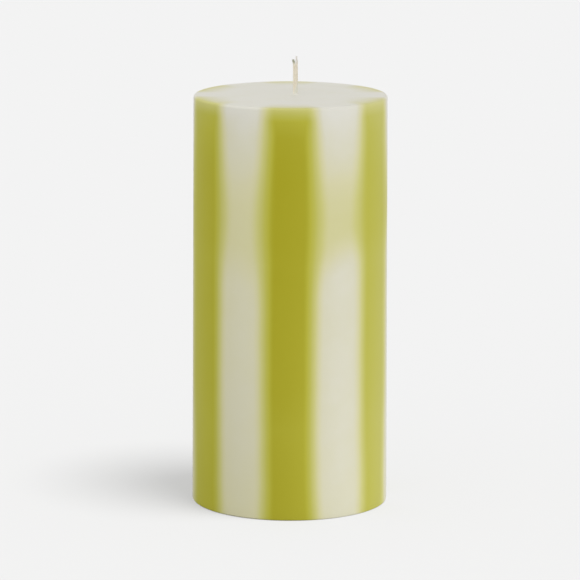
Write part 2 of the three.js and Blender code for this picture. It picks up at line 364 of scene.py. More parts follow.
@dataclass(frozen=True)
class DyeField:
    """How strongly the wax is dyed at each point, shared by both waxes so that they meet without a line.

    The dye has crept a little way out of each stripe, most of all in a zone near two thirds of the height
    where it also tints the white between the stripes. A painted sheen makes the white's tint weaker towards
    +X and the green paler at both sides and towards +X, and a painted glow makes the green paler just below
    the top.
    Angles are in degrees and heights in millimetres.
    """

    form: CandleForm
    edge: float = 13.95  # from a stripe's middle to where its colour is half gone
    edge_wave: float = 0.85  # how much further out the edges lie near a quarter turn, and further in between
    edge_waves: int = 4
    edge_lean: float = 1.0  # how much further out the edges lie at -X, and further in at +X
    edge_flare: float = 3.9  # how much further out they lie where they face +X or -X
    wander: float = 0.8  # how far the edges stray
    wander_length: float = 80.0  # between one stray and the next
    wander_seed: float = 0.0
    wander_span: Point = (0.3, 0.7)  # between which the noise's values mostly lie
    tail: float = 0.36  # a faint tint that reaches to the middle of the white, as it would be at the stripe's
    tint_and_sheen_lean: float = 0.56  # how much stronger the white's tint is at -X, a painted sheen that pales it at +X, and how much stronger the zone's tint is at +X
    dye_and_sheen_lean: float = 0.087  # how much paler the green is at +X and deeper at -X, partly weaker dye and partly painted sheen
    painted_sheen_at_sides: float = 0.233  # how much paler it is at both sides, a painted sheen
    arch_crown: float = 92.8  # the tinted zone's lower limit, in the middle of a white that faced -Y
    arch_drop: float = 0.018  # how much lower it is for each squared degree away from there
    arch_reach: float = 15.0  # how far from there it goes on falling, in degrees
    arch_blur: float = 8.5
    arch_lean: float = 5.0  # how much lower it is at -X, and higher at +X
    arch_rise: float = 17.0  # how much higher it is for each unit of the squared sine of its angle
    arch_rise_most: float = 0.5  # of those units
    arch_wander: float = 3.0
    zone_hidden: float = 0.6  # share of the zone's tint that the green of a stripe hides
    cap_depth: float = 2.5  # how far down the last white pour hides the stripes from above
    mottle_length: float = 9.0
    mottle: float = 0.035

    # Height: spread of the edges, their blur, tint of the white, strength of the green, share of the flare
    by_height: tuple[tuple[float, ...], ...] = (
        (0, 0.7, 13.5, 0.150, 0.87, 0.0),
        (12, 0.0, 13.5, 0.126, 0.875, 0.1),
        (34, 0.2, 13.5, 0.096, 0.865, 0.6),
        (48, 0.3, 13.5, 0.096, 0.89, 1.0),
        (88, 0.3, 14.5, 0.108, 0.905, 1.0),
        (95, 0.6, 15.5, 0.090, 0.90, 1.0),
        (103, 1.8, 17.5, 0.085, 0.915, 1.0),
        (110, 2.4, 18.5, 0.080, 0.915, 1.0),
        (118, 2.1, 18.5, 0.080, 0.92, 1.0),
        (126, 1.3, 17.5, 0.070, 0.93, 1.0),
        (134, 0.7, 16.5, 0.058, 0.92, 1.0),
        (142, 0.1, 15.5, 0.049, 0.895, 0.85),
        # Near the top the green is weakened, a painted glow of the light that comes in through the top face
        (148, 0.1, 12.5, 0.017, 0.845, 0.85),
        (151, 0.1, 12.0, 0.000, 0.65, 0.85),
        (153, 0.1, 11.5, 0.000, 0.51, 0.85),
    )
    # Height: tint that the zone adds to the white
    zone: tuple[tuple[float, float], ...] = (
        (90, 0.195),
        (112, 0.195),
        (118, 0.177),
        (124, 0.130),
        (130, 0.070),
        (136, 0.023),
        (142, 0.010),
        (150, 0.0),
    )
    # Depth below the wall: share of the dye, faint tint far in, share hidden from above
    by_depth: tuple[tuple[float, float, float, float], ...] = (
        (0.0, 1.0, 0.00, 0.00),
        (1.0, 1.0, 0.10, 0.45),
        (2.0, 0.7, 0.16, 0.60),
        (3.0, 0.3, 0.15, 0.68),
        (5.0, 0.08, 0.11, 0.68),
        (8.0, 0.0, 0.045, 0.68),
        (12.0, 0.0, 0.0, 0.68),
    )

    @property
    def full_turn(self) -> float:
        """Degrees from the middle of a stripe to the middle of the white beside it."""
        return math.degrees(self.form.pitch) / 2

    def group(self) -> Tree:
        """Builds the field as a node group.

        Returns:
            A group with the outputs Dye, from 0 for white to 1 for green, and Place, in millimetres.
        """
        tree = bpy.data.node_groups.new("dye_in_wax", "ShaderNodeTree")
        tree.interface.new_socket("Dye", in_out="OUTPUT", socket_type="NodeSocketFloat")
        tree.interface.new_socket("Place", in_out="OUTPUT", socket_type="NodeSocketVector")
        place = place_in_mm(tree)
        split = add_node(tree, SPLIT_PLACE, (place,)).outputs
        x, y, z = split["X"], split["Y"], split["Z"]
        behind = add_node(tree, MATH, (y, -1.0), operation="MULTIPLY")
        turn = add_node(tree, MATH, (x, behind), operation="ARCTAN2")
        lean = add_node(tree, MATH, (turn,), operation="SINE")
        stray = self.stray(tree, place)
        from_stripe = self.from_stripe(tree, turn, stray)
        heights = self.heights(tree, z)
        across = self.across(tree, turn, lean, from_stripe, heights)
        strength = self.strength(tree, place, z, lean, heights["strength"])
        stripe = add_node(tree, MATH, (strength, across), operation="MULTIPLY")
        tint = self.tint(tree, z, lean, from_stripe, across, stray, heights)
        add_node(tree, "NodeGroupOutput", {"Dye": self.mixed(tree, place, stripe, tint), "Place": place})
        return tree

    def stray(self, tree: Tree, place: Source) -> Node:
        """Adds the slow waver of the edges, from -1 to 1."""
        waver = add_node(
            tree,
            NOISE,
            {"Vector": place, "W": self.wander_seed, "Scale": 1 / self.wander_length, "Detail": 1.0},
            noise_dimensions="4D",
        )
        low, high = self.wander_span
        limits = {"From Min": low, "From Max": high, "To Min": -1.0, "To Max": 1.0}
        return add_node(tree, MAP_RANGE, {"Value": waver, **limits})

    def from_stripe(self, tree: Tree, turn: Source, stray: Source) -> Node:
        """Adds the angle from the nearest stripe's middle, in degrees."""
        degrees = add_node(tree, MATH, (turn,), operation="DEGREES")
        strayed = add_node(tree, MATH, (stray, self.wander, degrees), operation="MULTIPLY_ADD")
        return add_node(tree, MATH, (strayed, self.full_turn), operation="PINGPONG")

    def heights(self, tree: Tree, z: Source) -> dict[str, Socket]:
        """Adds what changes with the height.

        Args:
            tree: The group's tree.
            z: The height.

        Returns:
            Spread and blur as shares of full_turn, tint, strength, flare, and zone.
        """
        full, top, rows = self.full_turn, self.form.height, self.by_height
        rise = add_node(tree, MATH, (z, top), operation="DIVIDE")
        edges = [(at / top, (spread / full, blur / full, tint, 1.0)) for at, spread, blur, tint, *_ in rows]
        greens = [(at / top, (strength, flare, 0.0, 1.0)) for at, *_, strength, flare in rows]
        zones = [(at / top, (tint, tint, tint, 1.0)) for at, tint in self.zone]
        ramps = []
        for stops in (edges, greens, zones):
            ramps.append(add_node(tree, RAMP, (rise,)))
            set_stops(ramps[-1].color_ramp, stops)
        parts = add_node(tree, SPLIT_COLOUR, (ramps[0],)).outputs
        more = add_node(tree, SPLIT_COLOUR, (ramps[1],)).outputs
        return {
            "spread": parts["Red"],
            "blur": parts["Green"],
            "tint": parts["Blue"],
            "strength": more["Red"],
            "flare": more["Green"],
            "zone": ramps[2].outputs["Color"],
        }

    def across(
        self, tree: Tree, turn: Source, lean: Source, from_stripe: Source, heights: dict[str, Socket]
    ) -> Node:
        """Adds the green's fade across a stripe's edge.

        Args:
            tree: The group's tree.
            turn: The angle round the candle, in radians.
            lean: Its sine.
            from_stripe: The angle from the stripe's middle.
            heights: What changes with the height.

        Returns:
            1 in the stripe and 0 outside.
        """
        full = self.full_turn
        wave_turn = add_node(tree, MATH, (turn, float(self.edge_waves)), operation="MULTIPLY")
        wave = add_node(tree, MATH, (wave_turn,), operation="COSINE")
        waved = add_node(tree, MATH, (wave, self.edge_wave, self.edge), operation="MULTIPLY_ADD")
        spread = add_node(tree, MATH, (heights["spread"], full, waved), operation="MULTIPLY_ADD")
        leant = add_node(tree, MATH, (lean, -self.edge_lean, spread), operation="MULTIPLY_ADD")
        # Twice the sine squared less 1 is the cosine of twice the angle with its sign changed
        squared = add_node(tree, MATH, (lean, lean), operation="MULTIPLY")
        sideways = add_node(tree, MATH, (squared, 2.0, -1.0), operation="MULTIPLY_ADD", use_clamp=True)
        flare = add_node(tree, MATH, (heights["flare"], self.edge_flare), operation="MULTIPLY")
        edge = add_node(tree, MATH, (sideways, flare, leant), operation="MULTIPLY_ADD")
        half_blur = add_node(tree, MATH, (heights["blur"], full / 2), operation="MULTIPLY")
        inner = add_node(tree, MATH, (edge, half_blur), operation="SUBTRACT")
        outer = add_node(tree, MATH, (edge, half_blur), operation="ADD")
        left_by_stripe = add_node(
            tree,
            MAP_RANGE,
            {"Value": from_stripe, "From Min": inner, "From Max": outer},
            interpolation_type="SMOOTHSTEP",
        )
        nearness = add_node(tree, MATH, (from_stripe, -1 / full, 1.0), operation="MULTIPLY_ADD")
        squared_nearness = add_node(tree, MATH, (nearness, nearness), operation="MULTIPLY")
        left_by_tail = add_node(tree, MATH, (squared_nearness, -self.tail, 1.0), operation="MULTIPLY_ADD")
        undyed = add_node(tree, MATH, (left_by_stripe, left_by_tail), operation="MULTIPLY")
        return add_node(tree, MATH, (1.0, undyed), operation="SUBTRACT")

    def strength(self, tree: Tree, place: Source, z: Source, lean: Source, by_height: Source) -> Node:
        """Adds the dye's strength in a stripe, which the last white pour hides from above. It is paler at
        both sides, a painted sheen, and paler at +X than at -X, partly weaker dye and partly painted sheen.

        Args:
            tree: The group's tree.
            place: The point, in millimetres.
            z: Its height.
            lean: The sine of its angle round the candle.
            The strength at that height, which falls just below the top as a painted glow.

        Returns:
            The strength.
        """
        form = self.form
        flat = add_node(tree, VECTOR_MATH, (place, (1.0, 1.0, 0.0)), operation="MULTIPLY")
        reach = add_node(tree, VECTOR_MATH, (flat,), operation="LENGTH").outputs["Value"]
        wall = add_node(tree, MATH, (z, -math.tan(form.draft), form.base_radius), operation="MULTIPLY_ADD")
        depth = add_node(tree, MATH, (wall, reach), operation="SUBTRACT")
        deepest = self.by_depth[-1][0]
        depth_share = add_node(tree, MATH, (depth, deepest), operation="DIVIDE")
        depths = add_node(tree, RAMP, (depth_share,))
        set_stops(depths.color_ramp, [(at / deepest, (*shares, 1.0)) for at, *shares in self.by_depth])
        by_depth = add_node(tree, SPLIT_COLOUR, (depths,)).outputs
        cap = add_node(
            tree,
            MAP_RANGE,
            {"Value": z, "From Min": form.height - self.cap_depth, "From Max": form.height, "To Max": -1.0},
            interpolation_type="SMOOTHSTEP",
        )
        shown = add_node(tree, MATH, (by_depth["Blue"], cap, 1.0), operation="MULTIPLY_ADD")
        # Painted sheen: the green is paler at both sides and towards +X; towards +X it is partly weaker dye
        side, slant = -self.painted_sheen_at_sides, -self.dye_and_sheen_lean
        slope = add_node(tree, MATH, (lean, side, slant), operation="MULTIPLY_ADD")
        by_side = add_node(tree, MATH, (lean, slope, 1.0), operation="MULTIPLY_ADD")
        here = add_node(tree, MATH, (by_height, by_side), operation="MULTIPLY")
        dyed = add_node(tree, MATH, (here, by_depth["Red"]), operation="MULTIPLY")
        dyed_shown = add_node(tree, MATH, (dyed, shown), operation="MULTIPLY")
        return add_node(tree, MATH, (dyed_shown, by_depth["Green"]), operation="ADD")

    def tint(
        self,
        tree: Tree,
        z: Source,
        lean: Source,
        from_stripe: Source,
        across: Source,
        stray: Source,
        heights: dict[str, Socket],
    ) -> Node:
        """Adds the tint of the white: everywhere a little, and most in the arched zone.

        Args:
            tree: The group's tree.
            z: The height.
            lean: The sine of the angle round the candle.
            from_stripe: The angle from the nearest stripe's middle.
            across: The fade across a stripe's edge.
            stray: The waver of the edges.
            heights: What changes with the height.

        Returns:
            The tint.
        """
        from_white = add_node(tree, MATH, (self.full_turn, from_stripe), operation="SUBTRACT")
        reached = add_node(tree, MATH, (from_white, self.arch_reach), operation="MINIMUM")
        squared = add_node(tree, MATH, (reached, reached), operation="MULTIPLY")
        arch = add_node(tree, MATH, (squared, self.arch_drop, z), operation="MULTIPLY_ADD")
        leant = add_node(tree, MATH, (lean, -self.arch_lean, arch), operation="MULTIPLY_ADD")
        sideways = add_node(tree, MATH, (lean, lean), operation="MULTIPLY")
        turned = add_node(tree, MATH, (sideways, self.arch_rise_most), operation="MINIMUM")
        risen = add_node(tree, MATH, (turned, -self.arch_rise, leant), operation="MULTIPLY_ADD")
        arched = add_node(tree, MATH, (stray, self.arch_wander, risen), operation="MULTIPLY_ADD")
        low, high = self.arch_crown - self.arch_blur, self.arch_crown + self.arch_blur
        in_zone = add_node(
            tree,
            MAP_RANGE,
            {"Value": arched, "From Min": low, "From Max": high},
            interpolation_type="SMOOTHSTEP",
        )
        # Painted sheen: the white's tint is weaker towards +X, where the light on the right pales it; the
        # zone's tint is stronger there
        by_side = add_node(tree, MATH, (lean, -self.tint_and_sheen_lean, 1.0), operation="MULTIPLY_ADD")
        even = add_node(tree, MATH, (heights["tint"], by_side), operation="MULTIPLY")
        other_side = add_node(tree, MATH, (2.0, by_side), operation="SUBTRACT")
        zone = add_node(tree, MATH, (heights["zone"], other_side), operation="MULTIPLY")
        green = add_node(tree, MATH, (across, across), operation="MULTIPLY")
        shown = add_node(tree, MATH, (green, -self.zone_hidden, 1.0), operation="MULTIPLY_ADD")
        zone_shown = add_node(tree, MATH, (in_zone, shown), operation="MULTIPLY")
        return add_node(tree, MATH, (zone, zone_shown, even), operation="MULTIPLY_ADD")

    def mixed(self, tree: Tree, place: Source, stripe: Source, tint: Source) -> Node:
        """Adds the dye from both, with a faint mottle.

        What each leaves white is multiplied, so that the dye never passes full strength.

        Args:
            tree: The group's tree.
            place: The point, in millimetres.
            stripe: Dye from the stripe.
            tint: Dye in the white.

        Returns:
            The dye, from 0 to 1.
        """
        left_by_tint = add_node(tree, MATH, (1.0, tint), operation="SUBTRACT")
        left_by_stripe = add_node(tree, MATH, (1.0, stripe), operation="SUBTRACT")
        undyed = add_node(tree, MATH, (left_by_tint, left_by_stripe), operation="MULTIPLY")
        scale = 1 / self.mottle_length
        cloud = add_node(tree, NOISE, {"Vector": place, "Scale": scale, "Detail": 3.0}, noise_dimensions="3D")
        low, high = 1 - self.mottle, 1 + self.mottle
        clouded = add_node(tree, MAP_RANGE, {"Value": cloud, "To Min": low, "To Max": high})
        mottled = add_node(tree, MATH, (undyed, clouded), operation="MULTIPLY")
        return add_node(tree, MATH, (1.0, mottled), operation="SUBTRACT", use_clamp=True)


@dataclass(frozen=True)
class PillarWax:
    """Paraffin wax, set in a mould: dense and smooth, with a soft gloss that only shows at a slant."""

    name: str
    field_group: bpy.types.NodeTree
    roughness_low: float
    roughness_high: float
    ior: float = 1.44
    specular: float = 0.06  # the bloom on the surface scatters part of the gloss
    grain: float = 0.7  # millimetres between the mould's faint pits
    grain_depth: float = 0.006
    swell: float = 14.0  # millimetres between the slow swells that the wax leaves as it shrinks
    swell_depth: float = 0.05
    # Dye and colour
    shades: tuple[tuple[float, str], ...] = (
        (0.00, "dddbd1"),
        (0.10, "d7d4bc"),
        (0.21, "d5d1aa"),
        (0.45, "cac781"),
        (0.70, "bbb856"),
        (0.82, "b6b241"),
        (0.90, "aba52e"),
        (1.00, "a39c1a"),
    )

    def material(self) -> bpy.types.Material:
        """Builds the material."""
        material = blank_material(self.name)
        tree = material.node_tree
        dyed = add_node(tree, "ShaderNodeGroup", node_tree=self.field_group).outputs
        place = dyed["Place"]
        shade = add_node(tree, RAMP, (dyed["Dye"],))
        set_stops(shade.color_ramp, [(dye, linear(code)) for dye, code in self.shades])
        pits = add_node(tree, NOISE, {"Vector": place, "Scale": 1 / self.grain}, noise_dimensions="3D")
        swells = add_node(tree, NOISE, {"Vector": place, "Scale": 1 / self.swell}, noise_dimensions="3D")
        gloss = add_node(
            tree, MAP_RANGE, {"Value": swells, "To Min": self.roughness_low, "To Max": self.roughness_high}
        )
        slow = add_node(tree, BUMP, {"Strength": 1.0, "Distance": self.swell_depth * MM, "Height": swells})
        fine = add_node(
            tree, BUMP, {"Strength": 1.0, "Distance": self.grain_depth * MM, "Height": pits, "Normal": slow}
        )
        shader = add_node(
            tree,
            PRINCIPLED,
            {
                "Base Color": shade,
                "Roughness": gloss,
                "IOR": self.ior,
                "Specular IOR Level": self.specular,
                "Normal": fine,
            },
        )
        add_node(tree, "ShaderNodeOutputMaterial", {"Surface": shader})
        return material


@dataclass(frozen=True)
class WaxedCotton:
    """Braided cotton dipped in wax: cream yarns, a little translucent and barely fuzzy, greyer at the cut."""

    name: str = "waxed_cotton_braid"
    pale: str = "e2dacc"
    deep: str = "cfc5a8"
    yarn_shades: Point = (0.3, 0.6)  # values of the fibres' noise that are deep and pale
    cut: str = "a9aa90"  # the prong on the -X side, darker and greyer towards its end
    frayed: str = "e2ded8"  # the other prong, opened into pale fibres
    cut_depth: Point = (3.3, 1.9)  # how far below the tip those colours start, and are full
    cut_seam: Point = (-0.15, 0.05)  # how far off the wick's middle the one gives way to the other
    soaked: str = "d6d5c8"  # where the body's wax has climbed the foot of the braid
    soaked_share: float = 0.9
    roughness: float = 0.62
    ior: float = 1.46
    sheen: float = 0.15
    yarn: float = 0.12  # millimetres between the fibres, drawn about four times as coarse as real ones
    yarn_draw: float = 0.25  # how much coarser again they are along the braid
    yarn_depth: float = 0.02
    climb: float = 2.4  # how high the wax stands in the middle of the braid
    climb_slope: float = 2.6  # how much higher for each millimetre towards +X
    climb_blur: float = 0.8

    def material(self, path: WickPath) -> bpy.types.Material:
        """Builds the material.

        Args:
            path: The wick's middle line, which places the wax at its foot and the cut at its tip.

        Returns:
            The material.
        """
        material = blank_material(self.name)
        tree = material.node_tree
        place = place_in_mm(tree)
        split = add_node(tree, SPLIT_PLACE, (place,)).outputs
        height = split["Z"]
        aside = add_node(tree, MATH, (split["X"], path.middle(path.top)), operation="SUBTRACT")
        drawn = add_node(tree, "ShaderNodeMapping", {"Vector": place, "Scale": (1.0, 1.0, self.yarn_draw)})
        fibres = add_node(
            tree, NOISE, {"Vector": drawn, "Scale": 1 / self.yarn, "Detail": 2.0}, noise_dimensions="3D"
        )
        yarns = add_node(tree, RAMP, (fibres,))
        deep, pale = self.yarn_shades
        set_stops(yarns.color_ramp, [(deep, linear(self.deep)), (pale, linear(self.pale))])
        start, full = (path.tip - depth for depth in self.cut_depth)
        at_cut = add_node(
            tree,
            MAP_RANGE,
            {"Value": height, "From Min": start, "From Max": full},
            interpolation_type="SMOOTHSTEP",
        )
        left, right = self.cut_seam
        prong = add_node(tree, MAP_RANGE, {"Value": aside, "From Min": left, "From Max": right})
        ends = add_node(tree, MIX, {0: prong, 6: linear(self.cut), 7: linear(self.frayed)}, data_type="RGBA")
        tipped = add_node(tree, MIX, {0: at_cut, 6: yarns, 7: ends.outputs[2]}, data_type="RGBA")
        # The wax climbs the braid higher the further it is to +X
        over_wax = add_node(tree, MATH, (aside, -self.climb_slope, height), operation="MULTIPLY_ADD")
        climb = path.top + self.climb
        at_foot = add_node(
            tree,
            MAP_RANGE,
            {
                "Value": over_wax,
                "From Min": climb - self.climb_blur,
                "From Max": climb + self.climb_blur,
                "To Min": self.soaked_share,
                "To Max": 0.0,
            },
            interpolation_type="SMOOTHSTEP",
        )
        footed = add_node(
            tree, MIX, {0: at_foot, 6: tipped.outputs[2], 7: linear(self.soaked)}, data_type="RGBA"
        )
        bump = add_node(tree, BUMP, {"Strength": 1.0, "Distance": self.yarn_depth * MM, "Height": fibres})
        shader = add_node(
            tree,
            PRINCIPLED,
            {
                "Base Color": footed.outputs[2],
                "Roughness": self.roughness,
                "IOR": self.ior,
                "Sheen Weight": self.sheen,
                "Normal": bump,
            },
        )
        add_node(tree, "ShaderNodeOutputMaterial", {"Surface": shader})
        return material


@dataclass(frozen=True)
class TinnedSteel:
    """Tinned steel sheet, drawn in a press: pale metal with the die's fine rings over a dull spangle."""

    name: str = "pressed_tinned_steel"
    bright: str = "d2d3d3"
    dull: str = "b4b6b7"
    roughness_low: float = 0.24
    roughness_high: float = 0.42
    ring: float = 0.5  # millimetres between the die's rings, drawn coarser than real ones so that they show
    ring_depth: float = 0.006
    ring_waver: float = 0.6
    spangle: float = 2.5  # millimetres across one crystal of the tin

    def material(self) -> bpy.types.Material:
        """Builds the material."""
        material = blank_material(self.name)
        tree = material.node_tree
        place = place_in_mm(tree)
        rings = add_node(
            tree,
            "ShaderNodeTexWave",
            {"Vector": place, "Scale": WAVE_LENGTH / self.ring, "Distortion": self.ring_waver},
            wave_type="RINGS",
            rings_direction="Z",
        ).outputs["Fac"]
        crystals = add_node(tree, "ShaderNodeTexVoronoi", {"Vector": place, "Scale": 1 / self.spangle})
        tone = add_node(tree, SPLIT_COLOUR, (crystals.outputs["Color"],))
        shade = add_node(tree, RAMP, (tone,))
        set_stops(shade.color_ramp, [(0.0, linear(self.dull)), (1.0, linear(self.bright))])
        gloss = add_node(
            tree, MAP_RANGE, {"Value": tone, "To Min": self.roughness_high, "To Max": self.roughness_low}
        )
        bump = add_node(tree, BUMP, {"Strength": 1.0, "Distance": self.ring_depth * MM, "Height": rings})
        shader = add_node(
            tree, PRINCIPLED, {"Base Color": shade, "Metallic": 1.0, "Roughness": gloss, "Normal": bump}
        )
        add_node(tree, "ShaderNodeOutputMaterial", {"Surface": shader})
        return material


@dataclass(frozen=True)
class WickPath:
    """The middle line of the wick, in millimetres: up the neck, across to its exit, and free above it."""

    foot: float
    tip: float
    top: float  # height of the candle's top face
    neck_top: float = 7.5
    offset: float = 1.8  # how far off the axis it leaves the top, a little less than its solid does
    lean: float = 0.1  # how far the free end leans back

    @classmethod
    def from_frame(cls, form: CandleForm) -> WickPath:
        """Reads the wick's ends off its solid."""
        low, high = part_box("wick")
        return cls(low.z / MM, high.z / MM, form.height)

    def middle(self, height: float) -> float:
        """How far off the axis, along X, the wick's middle is at a height."""
        inside = np.clip((height - self.neck_top) / (self.top - self.neck_top), 0, 1)
        free = max(height - self.top, 0.0) / (self.tip - self.top)
        return float(self.offset * inside - self.lean * free**2)


@dataclass(frozen=True)
class PouredBody:
    """The white wax body with its channels, bore and sustainer seat, and the wax that climbs the wick."""

    form: CandleForm
    path: WickPath
    material: bpy.types.Material
    support: float = 0.25  # how far in from a rounded edge the flat face starts, to keep its shading flat
    annulus: float = 3.2  # how far in from the wall the plan turns round
    margin: float = 1.5  # and how far in from there the next ring lies
    # Rings of the top face from the collar out: radius, share of the wick's offset, one point in how many
    top_rings: tuple[tuple[float, float, int], ...] = (
        (4.0, 1.0, 8),
        (8.0, 0.8, 8),
        (16.0, 0.4, 4),
        (25.0, 0.0, 2),
    )
    # Rings of the base from the wall in: radius, one point in how many
    base_rings: tuple[tuple[float, int], ...] = ((27.0, 1), (20.0, 2), (14.0, 4))
    bore_share: int = 8  # one point in how many goes round the bore
    bore_levels: int = 8
    bore_half_width: float = 0.86
    bore_half_thickness: float = 0.66
    collar_reach: float = 1.7
    collar_low: float = 0.3  # how high the wax climbs the wick, on the left and on the right
    collar_high: float = 0.5
    collar_turn: float = math.radians(-25)  # where round the wick it climbs highest
    collar_side: float = -0.2  # cosine of the turn from there at which it starts to climb
    collar_curve: float = 2.6
    collar_steps: int = 8
    seat_radius: float = 10.3
    seat_height: float = 1.6
    neck_radius: float = 1.9
    neck_flare: float = 0.8
    neck_height: float = 7.8

    def plan(self) -> tuple[list[Point], np.ndarray]:
        """Lays out the wall with its channels.

        Returns:
            The plan as angles and depths, and for each point its angle on a plain circle inside the channels.
        """
        form = self.form
        half = form.stripe_half_turn
        gap = form.pitch - 2 * half
        plan: list[Point] = []
        turns: list[float] = []
        sides = [float(d) for d in form.side_depths()]
        for index in range(form.stripe_count):
            middle = index * form.pitch
            back = form.stripe_back()[form.side_steps + 1 : -(form.side_steps + 1)]
            plan += [(middle + a, d) for a, d in back]
            turns += [middle + float(t) for t in np.linspace(-half, half, len(back) + 2)[1:-1]]
            across = np.linspace(0, gap, form.front_steps + 1)[1:-1]
            white = [(half, d) for d in reversed(sides)]
            white += [(half + float(a), 0.0) for a in across]
            white += [(half + gap, d) for d in sides]
            plan += [(middle + a, d) for a, d in white]
            turns += [middle + half + float(t) for t in np.linspace(0, gap, len(white))]
        return plan, np.array(turns)

    def circle(self, turns: np.ndarray, radius: float, height: float, offset: float = 0.0) -> np.ndarray:
        """Points at given turns round a circle whose middle is off the axis along X."""
        return np.column_stack(
            [offset + radius * np.sin(turns), -radius * np.cos(turns), np.full(len(turns), height)]
        )

    def oval(self, turns: np.ndarray, middle: float, out: float, height: Any) -> np.ndarray:
        """Points round the bore or some way out from it, at one height or each at its own."""
        x = middle + (self.bore_half_width + out) * np.sin(turns)
        y = -(self.bore_half_thickness + out) * np.cos(turns)
        return np.column_stack([x, y, np.broadcast_to(height, len(turns))])

    def collar(self, turns: np.ndarray) -> list[np.ndarray]:
        """The wax round the wick's foot, from the top face in and up to the braid."""
        top = self.form.height
        middle = self.path.middle(top)
        right = np.cos(turns - math.pi / 2 - self.collar_turn)
        rise = self.collar_high - self.collar_low
        climb = self.collar_low + rise * smoothstep(right, self.collar_side, 1.0)
        rings = []
        for share in np.linspace(1, 0, self.collar_steps + 1):
            height = top + climb * (1 - share) ** self.collar_curve
            rings.append(self.oval(turns, middle, self.collar_reach * share, height))
        return rings

    def rings(self) -> list[np.ndarray]:
        """Every ring of the body: out over the top, down the wall, in under the base and up the bore."""
        form = self.form
        plan, turns = self.plan()
        few = turns[:: self.bore_share]
        top, middle = form.height, self.path.middle(form.height)
        inner = form.base_radius - self.annulus
        rings = self.collar(few)[::-1]
        rings += [self.circle(turns[::part], r, top, middle * share) for r, share, part in self.top_rings]
        rings += [self.circle(turns, inner - self.margin, top), self.circle(turns, inner, top)]
        rings.append(form.ring(plan, top, form.rim_radius + self.support))
        rings += [form.ring(plan, height, inset) for height, inset in reversed(form.levels())]
        rings.append(form.ring(plan, 0.0, form.foot_radius + self.support))
        rings.append(self.circle(turns, inner, 0.0))
        rings += [self.circle(turns[::part], r, 0.0) for r, part in self.base_rings]
        seat_and_neck = (
            (self.seat_radius, 0.0),
            (self.seat_radius, self.seat_height),
            ((self.seat_radius + self.neck_radius) / 2, self.seat_height),
            (self.neck_radius + self.neck_flare, self.seat_height),
            (self.neck_radius, self.seat_height + self.neck_flare),
            (self.neck_radius, self.neck_height),
        )
        rings += [self.circle(few, r, height) for r, height in seat_and_neck]
        climb = np.linspace(self.neck_height, top, self.bore_levels)
        return rings + [self.oval(few, self.path.middle(float(z)), 0.0, z) for z in climb]

    def build(self) -> bpy.types.Object:
        """Makes the body and seats it."""
        piece = make_piece("poured_wax_body", [skin(self.rings(), Ends.JOINED)], self.material)
        seat(piece, "wax_body")
        return piece


@dataclass(frozen=True)
class DyedStripes:
    """The six green stripes, each let into its channel and flush with the wall."""

    form: CandleForm
    material: bpy.types.Material

    def stripe(self, index: int) -> bpy.types.Object:
        """Makes one stripe and seats it.

        Args:
            index: Its number round the candle from the front, from 0.

        Returns:
            The stripe.
        """
        form = self.form
        half, middle = form.stripe_half_turn, index * form.pitch
        front = [(float(a), 0.0) for a in np.linspace(half, -half, form.front_steps + 1)[1:-1]]
        plan = [(middle + a, d) for a, d in form.stripe_back() + front]
        levels = form.levels()
        rings = [form.ring(plan, height, inset) for height, inset in levels]
        piece = make_piece(f"dyed_wax_stripe_{index + 1}", [skin(rings, Ends.CAPPED)], self.material)
        seat(piece, f"green_stripe_{index + 1}")
        return piece

    def build(self) -> list[bpy.types.Object]:
        """Makes all the stripes."""
        return [self.stripe(index) for index in range(self.form.stripe_count)]


